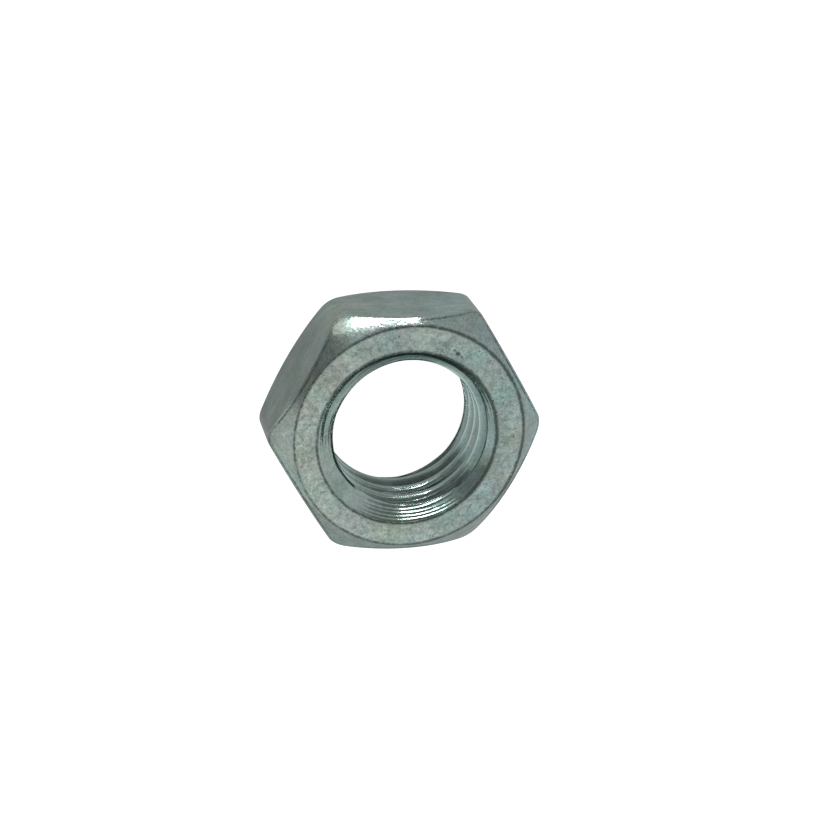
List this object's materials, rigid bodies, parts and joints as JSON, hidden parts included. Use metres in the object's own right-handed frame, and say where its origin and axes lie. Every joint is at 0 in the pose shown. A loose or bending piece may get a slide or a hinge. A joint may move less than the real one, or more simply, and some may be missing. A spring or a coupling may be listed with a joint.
{
  "type": "hex nut",
  "caption": "Thin zinc-plated steel hexagon nut, chamfered and countersunk on both faces, with a right-hand helical thread.",
  "frame": {"origin": "centre of the lower bearing face, on the thread's axis", "axes": "+Z along the thread's axis, up through the upper bearing face; +X through a corner of the hexagon; +Y through the middle of a side flat"},
  "size_m": [0.0192, 0.017, 0.007],
  "materials": {
    "zinc_plate": "satin zinc plating on steel, bluish grey with a fine speckle"
  },
  "bodies": {
    "root": {"hex_nut": "zinc_plate"}
  },
  "joints": []
}
